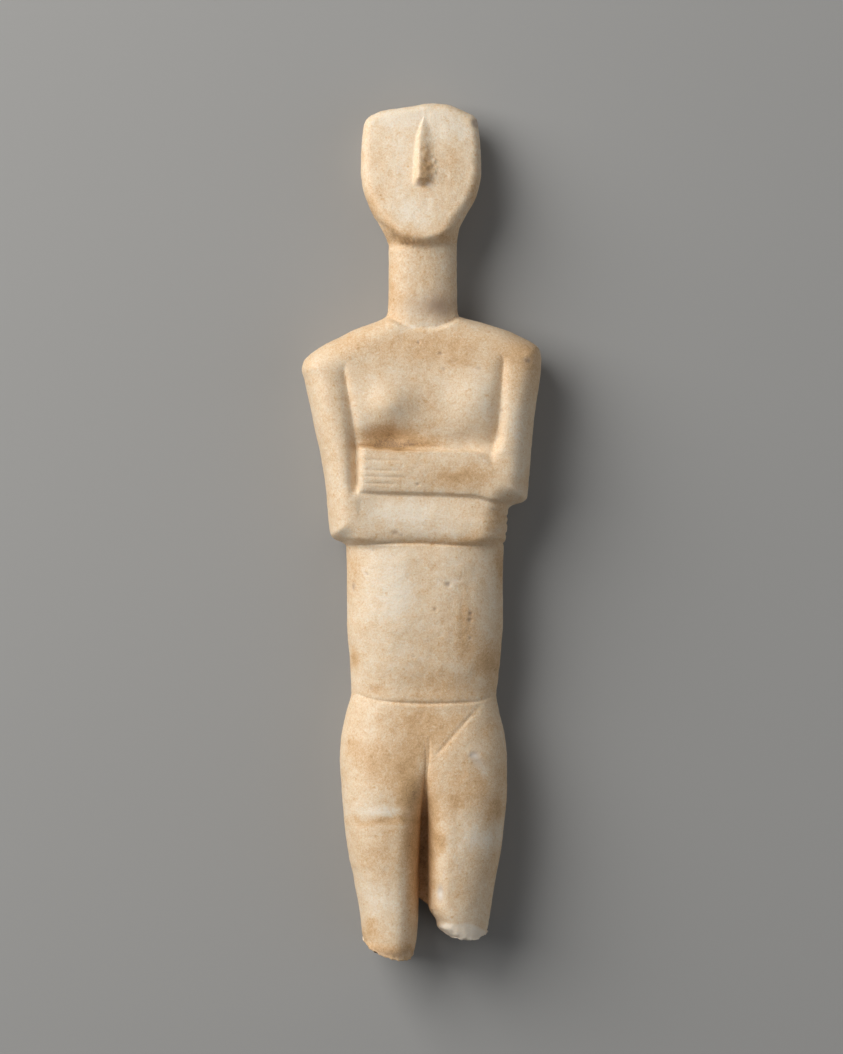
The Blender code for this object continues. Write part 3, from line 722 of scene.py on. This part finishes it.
# %% [markdown]
# ## Closing the stone
#
# The two sheets share their nodes along the outline, so the stone is closed there by itself. It is still
# open at the broken ends of the thighs, down their inner sides and under the thin web between them. One
# band runs along that whole rim, from the front sheet to the back sheet.
#
# The back is plainer than the front, so its sheet keeps only every second row and column: each node that
# is left out becomes the same point as the last one kept, and the faces that shrink to a line are
# dropped.

# %% Node numbers
BAND_ROWS = 10
BREAK_BULGE, RAGGED, RAGGED_SIZE = 2.5, 3, 16


def kept(guides):
    """Whether each grid line is kept in the back sheet: the guides themselves, every second line after
    each, and the line next to the outline, so that no sliver closes the edge."""
    keep = np.concatenate([np.arange(max(count, 1)) % 2 == 0 for _, _, count, _ in guides])
    keep[1] = True
    return keep


def last_kept(keep):
    """Number of the last kept line up to each line."""
    return np.maximum.accumulate(np.where(keep, np.arange(len(keep)), 0))


def rim_path(rows, columns):
    """Grid nodes round the open lower end: along the left break, up the left leg's inner side, across the
    web, down the right leg's inner side and along the right break."""
    last, web = rows - 1, guide_index(ROW_GUIDES, "web's end")
    left, right = guide_index(COLUMN_GUIDES, "middle, left"), guide_index(COLUMN_GUIDES, "middle, right")
    path = [(last, j) for j in range(left)] + [(i, left) for i in range(last, web, -1)]
    path += [(web, j) for j in range(left, right)] + [(i, right) for i in range(web, last)]
    return np.array(path + [(last, j) for j in range(right, columns)])


rows, columns = grid_x.shape
front_index = np.arange(rows * columns).reshape(rows, columns)
back_index = front_index + rows * columns
for node in ((slice(None), 0), (slice(None), -1), (0, slice(None))):
    back_index[node] = front_index[node]
inner_rows, inner_columns = np.ix_(last_kept(kept(ROW_GUIDES))[1:], last_kept(kept(COLUMN_GUIDES))[1:-1])
back_index[1:, 1:-1] = back_index[inner_rows, inner_columns]
path = rim_path(rows, columns)
i, j = path.T
off_outline = (j > 0) & (j < columns - 1)
back_index[i, j] = np.where(off_outline, (i * columns + j) + rows * columns, back_index[i, j])

# %% Sheets and band


def quads(a, b, c, d):
    """Quads from four arrays of corner numbers."""
    return np.stack([a.ravel(), b.ravel(), c.ravel(), d.ravel()], 1)


def sheet(index, keep):
    """Quads between neighbouring nodes of one sheet, where keep says that the cell exists."""
    return quads(index[:-1, :-1], index[1:, :-1], index[1:, 1:], index[:-1, 1:])[keep.ravel()]


cell_row, cell_column = np.indices((rows - 1, columns - 1))
open_cell = (
    (cell_row >= guide_index(ROW_GUIDES, "web's end"))
    & (cell_column >= guide_index(COLUMN_GUIDES, "middle, left"))
    & (cell_column < guide_index(COLUMN_GUIDES, "middle, right"))
)

shares = np.linspace(0, 1, BAND_ROWS + 1)[1:-1]
front_sheet = np.stack([grid_x, grid_y, front_z], axis=-1)
back_sheet = np.stack([grid_x, grid_y, back_z], axis=-1)
front_rim, back_rim = front_sheet[i, j][:, None], back_sheet[i, j][:, None]
band_points = front_rim * (1 - shares[:, None]) + back_rim * shares[:, None]
on_break = (i == rows - 1)[:, None]
ragged = RAGGED * noise(band_points[..., 0], 0 * band_points[..., 0], band_points[..., 2], RAGGED_SIZE)
band_points[..., 1] -= on_break * (BREAK_BULGE + ragged) * np.sin(np.pi * shares)
band_index = 2 * rows * columns + np.arange(band_points[..., 0].size).reshape(len(path), -1)
band = np.concatenate([front_index[i, j][:, None], band_index, back_index[i, j][:, None]], axis=1)
band[0], band[-1] = band[0, 0], band[-1, 0]

places = np.concatenate([front_sheet.reshape(-1, 3), back_sheet.reshape(-1, 3), band_points.reshape(-1, 3)])
cells = np.concatenate([
    sheet(front_index, ~open_cell),
    sheet(back_index, ~open_cell)[:, ::-1],
    quads(band[:-1, :-1], band[:-1, 1:], band[1:, 1:], band[1:, :-1]),
])


def triangles_of(cells):
    """Two triangles for each quad, leaving out those that closed up to a line, and points renumbered so
    that none is loose."""
    triangles = np.concatenate([cells[:, [0, 1, 2]], cells[:, [0, 2, 3]]])
    a, b, c = triangles.T
    triangles = triangles[(a != b) & (b != c) & (c != a)]
    used, flat = np.unique(triangles, return_inverse=True)
    return used, flat.reshape(-1, 3)


used, triangles = triangles_of(cells)
places = places[used]
print(len(places), "points and", len(triangles), "triangles")

# %% [markdown]
# ## Grain and wear
#
# Every point then moves a little along its own normal. Everywhere that is a faint unevenness, as hand
# polishing leaves it, and at the broken places it is a real roughness. The normal of a point is the mean
# of its triangles' normals, weighted by their area.

# %% Uneven surface
POLISHED = [(0.35, 17), (0.22, 7), (0.1, 3)]
BROKEN = [(1.1, 5), (0.9, 2.6)]
BROKEN_LOSS = 0.7


def noises(x, y, z, layers):
    """Sum of noise fields, given as (amount, size of the patches)."""
    return sum(amount * noise(x, y, z, size) for amount, size in layers)


def normals_of(points, triangles):
    """Unit normal of every point, from the cross products of the triangles round it."""
    a, b, c = (points[triangles[:, k]] for k in range(3))
    face = np.cross(b - a, c - a)
    total = np.stack([
        sum(np.bincount(triangles[:, k], face[:, axis], len(points)) for k in range(3)) for axis in range(3)
    ], axis=1)
    return total / np.maximum(np.linalg.norm(total, axis=1, keepdims=True), 1e-20)


x, y, z = places.T
points = to_metres(x, y, z)
normals = normals_of(points, triangles)
rough = broken_share(x, y) * ramp(-0.5, 0.1, normals[:, 2])
uneven = noises(x, y, z, POLISHED)
uneven += rough * (noises(x, y, z, BROKEN) - BROKEN_LOSS)
points += normals * uneven[:, None] * DEEP
points[:, 2] = np.maximum(points[:, 2], low.z)
print("moved by at most", round(float(np.abs(uneven).max() * DEEP * 1000), 2), "mm")

# %% [markdown]
# ## Patina
#
# The stone is cream where it is clean and goes through sand to ochre brown where earth has stained it.
# Each point carries three numbers for the material: how ochre it is, how dirty, and how fresh its break
# is. The stains are soft ellipses in the places where the photograph shows them, with
# their borders frayed by noise. Some of the ellipses, and the rise of ochre towards the outline, are
# painted shade, and one pale line is a painted highlight, so the ochre number carries them too. The
# pits are darker the deeper they are.

# %% Stains and painted light, as (x, y, half-width, half-length, amount)
# Two of these are painted light: (62, 95) down the head's right edge is painted shade, partly stain, and
# the pale line (4, 263) along the neck's base is a painted highlight.
HEAD_STAINS_AND_PAINTED_LIGHT = [
    (-47, 64, 13, 17, 0.15), (-20, 60, 30, 60, -0.12), (0, 14, 56, 9, -0.25), (-56, 124, 10, 16, 0.4),
    (30, 65, 12, 14, 0.15), (-10, 131, 20, 18, -0.35), (31, 32, 20, 15, -0.35), (-33, 20, 22, 9, -0.25),
    (0, 60, 60, 60, -0.1), (62, 95, 6, 30, 0.2), (-22, 160, 22, 9, 0.6), (29, 157, 14, 9, 0.3),
    (-38, 146, 10, 13, 0.45), (4, 72, 8, 24, 0.6), (5, 94, 7, 7, 0.35), (4, 205, 30, 25, 0.12),
    (4, 263, 36, 4, -0.25), (-34, 207, 5, 35, 0.15), (-27, 231, 12, 14, 0.2),
]
# Painted shade, laid on as brown: (-36, 392), (4, 396) and (-34, 401) in the hollow under the left breast
# and along the upper forearm's top edge, over a real brown stain there; (39, 439) and (40, 441) on the
# upper forearm's lower part, which faces away from the light; (33, 511) on the lower forearm's underside.
CHEST_STAINS_AND_PAINTED_SHADE = [
    (17, 287, 62, 18, 0.45), (-91, 283, 32, 12, 0.25), (115, 300, 22, 28, 0.4), (-36, 392, 34, 13, 0.75),
    (4, 396, 34, 6, 0.3), (70, 340, 18, 30, -0.15), (8, 350, 16, 34, 0.15), (45, 308, 24, 7, 0.25),
    (39, 439, 46, 16, 0.4), (40, 441, 16, 9, 0.35), (-34, 401, 42, 4, 0.8), (-19, 481, 46, 18, -0.45),
    (83, 485, 15, 16, 0.3), (112, 400, 10, 60, -0.25), (33, 511, 70, 5, 0.35), (-90, 506, 10, 8, -0.2),
]
# (92, 545) and (91, 582), a narrow dark band down the belly's right edge, are painted shade.
BELLY_STAINS_AND_PAINTED_SHADE = [
    (-77, 546, 9, 26, 0.4), (-78, 648, 5, 12, 0.7), (-31, 576, 26, 40, -0.38), (51, 605, 10, 46, 0.35),
    (76, 655, 18, 28, 0.6), (92, 545, 7, 22, 0.35), (25, 680, 32, 16, 0.3), (-54, 688, 14, 8, 0.35),
    (73, 673, 10, 8, -0.3), (91, 582, 5, 50, 0.1), (4, 720, 50, 18, 0.35), (8, 745, 34, 22, 0.3),
]
# Painted shade among these: (4, 874) on the web deep in the cleft, with (15, 850) and (20, 856) on the
# right leg's wall beside it, is the painted shadow of the left leg; (-17, 800) darkens the left thigh's
# inner slope. (86, 822) and (87, 885) down the right edge are partly painted shade, partly stain.
LEG_STAINS_AND_PAINTED_SHADE = [
    (-62, 763, 22, 19, 0.3), (-17, 800, 14, 34, 0.5), (-42, 775, 24, 18, 0.3), (-44, 825, 26, 6, -0.6),
    (-48, 837, 38, 4.5, 0.5), (-37, 874, 30, 32, 0.2), (-51, 930, 20, 18, -0.3), (-60, 964, 10, 14, 0.4),
    (-37, 988, 40, 6, 0.5), (-10, 865, 9, 95, 0.55), (15, 850, 7, 70, 0.35), (-81, 750, 8, 12, 0.35),
    (57, 798, 34, 32, 0.4), (86, 822, 11, 14, 0.5), (36, 812, 9, 10, 0.35), (72, 858, 21, 13, -0.35),
    (20, 856, 6, 14, 0.45), (54, 909, 28, 35, 0.1), (87, 885, 6, 12, 0.2), (72, 780, 6, 6, -0.5),
    (78, 730, 6, 7, 0.3), (4, 874, 8, 70, 0.8),
]
DIRTY_PLACES = [
    (20, 236, 18, 14, 0.6), (8, 240, 32, 12, 0.35), (16, 210, 10, 12, 0.12), (-35, 992, 30, 4, 0.45),
]
FRESH_CHIPS = [
    (61, 761, 5, 4, 0.9), (66, 770, 6, 6, 0.35), (22, 921, 3.5, 8, 0.9), (-44, 825, 26, 4, 0.2),
    (-4, 97, 3, 3, 0.7), (9, 98, 4, 2.5, 0.6), (64, 24, 4, 4, 0.4), (38, 559, 12, 3, 0.4),
]

# %% Attributes of the stone
OCHRE_BASE, OCHRE_AND_SHADE_AT_RIM, RIM_WIDTH = 0.36, 0.06, 9
MOTTLING = [(0.12, 34), (0.10, 12), (0.14, 4)]
FRAY, FRAY_SIZE = 5, 13

ellipse_x = x + FRAY * noise(x, y, z, FRAY_SIZE)
ellipse_y = y + FRAY * noise(y, z, x, FRAY_SIZE)
facing = ramp(-0.4, 0.2, normals[:, 2])


# Sums the ellipses on the up-facing surfaces: stains, dirt and painted light alike.
def together(ellipses):
    return facing * sum(bump(ellipse_x, ellipse_y, stain_and_painted_light) for stain_and_painted_light in ellipses)


to_edge = np.concatenate([edge.ravel(), edge.ravel(), np.zeros(band_points[..., 0].size)])[used]
# Ochre rises towards the outline: partly painted shade on the rounded edges, partly the edges' real ochre.
ochre_and_painted_light = OCHRE_BASE + noises(x, y, z, MOTTLING) + OCHRE_AND_SHADE_AT_RIM * np.exp(-to_edge / RIM_WIDTH)
ochre_and_painted_light += together(HEAD_STAINS_AND_PAINTED_LIGHT + CHEST_STAINS_AND_PAINTED_SHADE + BELLY_STAINS_AND_PAINTED_SHADE + LEG_STAINS_AND_PAINTED_SHADE)
pit_depth = np.clip(-sum(bump(x, y, pit) for pit in PITS), 0, 1.6)
# Pits are darker the deeper they are.
dirt = together(DIRTY_PLACES) + 0.55 * facing * pit_depth
flake = facing * (x > 20) * ramp(-1, 2, y - through(FLAKE_TOP, x))
on_band = used >= 2 * rows * columns
fresh = facing * sum(bump(x, y, chip) for chip in FRESH_CHIPS) + 0.55 * flake + 0.4 * on_band
ochre_and_painted_light += 0.3 * rough * (x < BETWEEN_LEGS) * (y > WEB_END) - 0.12 * flake
print("mean ochre", round(float(ochre_and_painted_light.mean()), 3), "and", int(on_band.sum()), "points on the breaks' band")

# %% [markdown]
# ## Marble
#
# The material mixes its colour from those three numbers. Fine noise in the object's own coordinates adds
# mottling, sugary grain and a few specks that are smaller than the mesh can carry, and the same grain is a
# bump of about a tenth of a millimetre. A little light spreads under the surface, as it does in marble.

# %% Material
PALE, CREAM, SAND = (0.88, 0.77, 0.62, 1), (0.81, 0.63, 0.43, 1), (0.70, 0.46, 0.25, 1)
OCHRE, BROWN = (0.53, 0.325, 0.15, 1), (0.30, 0.18, 0.09, 1)
DIRT, FRESH = (0.42, 0.29, 0.20, 1), (0.90, 0.81, 0.69, 1)


class Nodes:
    """Short names for adding and linking shader nodes of one material."""

    def __init__(self, material):
        self.tree = material.node_tree

    def add(self, kind, inputs=(), **settings):
        """New node with its settings, and its inputs set to a value or linked from another node's
        output."""
        node = self.tree.nodes.new(kind)
        for name, value in settings.items():
            setattr(node, name, value)
        for socket, value in inputs:
            if isinstance(value, bpy.types.NodeSocket):
                self.tree.links.new(value, node.inputs[socket])
            else:
                node.inputs[socket].default_value = value
        return node

    def attribute(self, name):
        return self.add("ShaderNodeAttribute", attribute_name=name).outputs["Fac"]

    def noise(self, scale, detail, where):
        """Noise between 0 and 1 at so many patches to the metre."""
        inputs = [("Vector", where), ("Scale", scale), ("Detail", detail), ("Roughness", 0.6)]
        return self.add("ShaderNodeTexNoise", inputs).outputs["Fac"]

    def sum(self, value, factor, addend):
        """value * factor + addend."""
        inputs = [(0, value), (1, factor), (2, addend)]
        return self.add("ShaderNodeMath", inputs, operation="MULTIPLY_ADD").outputs[0]

    def mix(self, share, first, second):
        """Colour between first and second."""
        inputs = [(0, share), (6, first), (7, second)]
        return self.add("ShaderNodeMix", inputs, data_type="RGBA").outputs[2]


# Patches to the metre of each noise in the stone
PATCHES, FINE, GRAIN, SPARSE = 300, 1700, 4200, 650


def marble_material():
    material = bpy.data.materials.new("aged_marble")
    material.use_nodes = True
    nodes = Nodes(material)
    shader = material.node_tree.nodes["Principled BSDF"]
    where = nodes.add("ShaderNodeTexCoord").outputs["Object"]
    patches, fine = nodes.noise(PATCHES, 3, where), nodes.noise(FINE, 2, where)
    grain, sparse = nodes.noise(GRAIN, 1, where), nodes.noise(SPARSE, 1, where)

    # The ochre number brings in the painted shade and the painted highlight along with the real stains.
    stain_and_painted_light = nodes.sum(patches, 0.24, nodes.attribute("ochre_and_painted_light"))
    stain_and_painted_light = nodes.sum(fine, 1.0, stain_and_painted_light)
    stain_and_painted_light = nodes.sum(grain, 1.0, stain_and_painted_light)
    specks = [("Value", sparse), ("From Min", 0.66), ("From Max", 0.78), ("To Max", 0.35)]
    stain_and_painted_light = nodes.sum(nodes.add("ShaderNodeMapRange", specks).outputs["Result"], 1, stain_and_painted_light)
    colours = nodes.add("ShaderNodeValToRGB", [("Fac", nodes.sum(stain_and_painted_light, 0.6, -0.62))])
    stops = [(0.0, PALE), (0.25, CREAM), (0.5, SAND), (0.76, OCHRE), (1.0, BROWN)]
    ramp_stops = colours.color_ramp.elements
    while len(ramp_stops) < len(stops):
        ramp_stops.new(0.5)
    for element, (position, colour) in zip(ramp_stops, stops):
        element.position, element.color = position, colour
    soiled = nodes.mix(nodes.attribute("dirt"), colours.outputs["Color"], DIRT)
    colour = nodes.mix(nodes.attribute("fresh"), soiled, FRESH)
    material.node_tree.links.new(colour, shader.inputs["Base Color"])

    height = nodes.sum(fine, 0.6, nodes.sum(grain, 0.5, nodes.sum(patches, 0.4, 0.0)))
    bump_node = nodes.add("ShaderNodeBump", [("Strength", 0.42), ("Distance", 0.0003), ("Height", height)])
    material.node_tree.links.new(bump_node.outputs["Normal"], shader.inputs["Normal"])
    shader.inputs["Roughness"].default_value = 0.58
    shader.inputs["Subsurface Weight"].default_value = 0.12
    shader.inputs["Subsurface Radius"].default_value = (1.0, 0.7, 0.45)
    shader.inputs["Subsurface Scale"].default_value = 0.0012
    return material


# %% The finished piece
mesh = bpy.data.meshes.new("marble_figurine")
mesh.from_pydata(points.tolist(), [], triangles.tolist())
mesh.shade_smooth()
for name, values, most in (("ochre_and_painted_light", ochre_and_painted_light, 1.4), ("dirt", dirt, 1), ("fresh", fresh, 1)):
    attribute = mesh.attributes.new(name, "FLOAT", "POINT")
    attribute.data.foreach_set("value", np.clip(values, 0, most).astype(np.float32))
mesh.materials.append(marble_material())
figurine = bpy.data.objects.new("marble_figurine", mesh)
bpy.context.scene.collection.objects.link(figurine)

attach(figurine, "root")
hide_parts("figurine")
print("figurine box, metres:", [round(max(p) - min(p), 4) for p in points.T.tolist()])
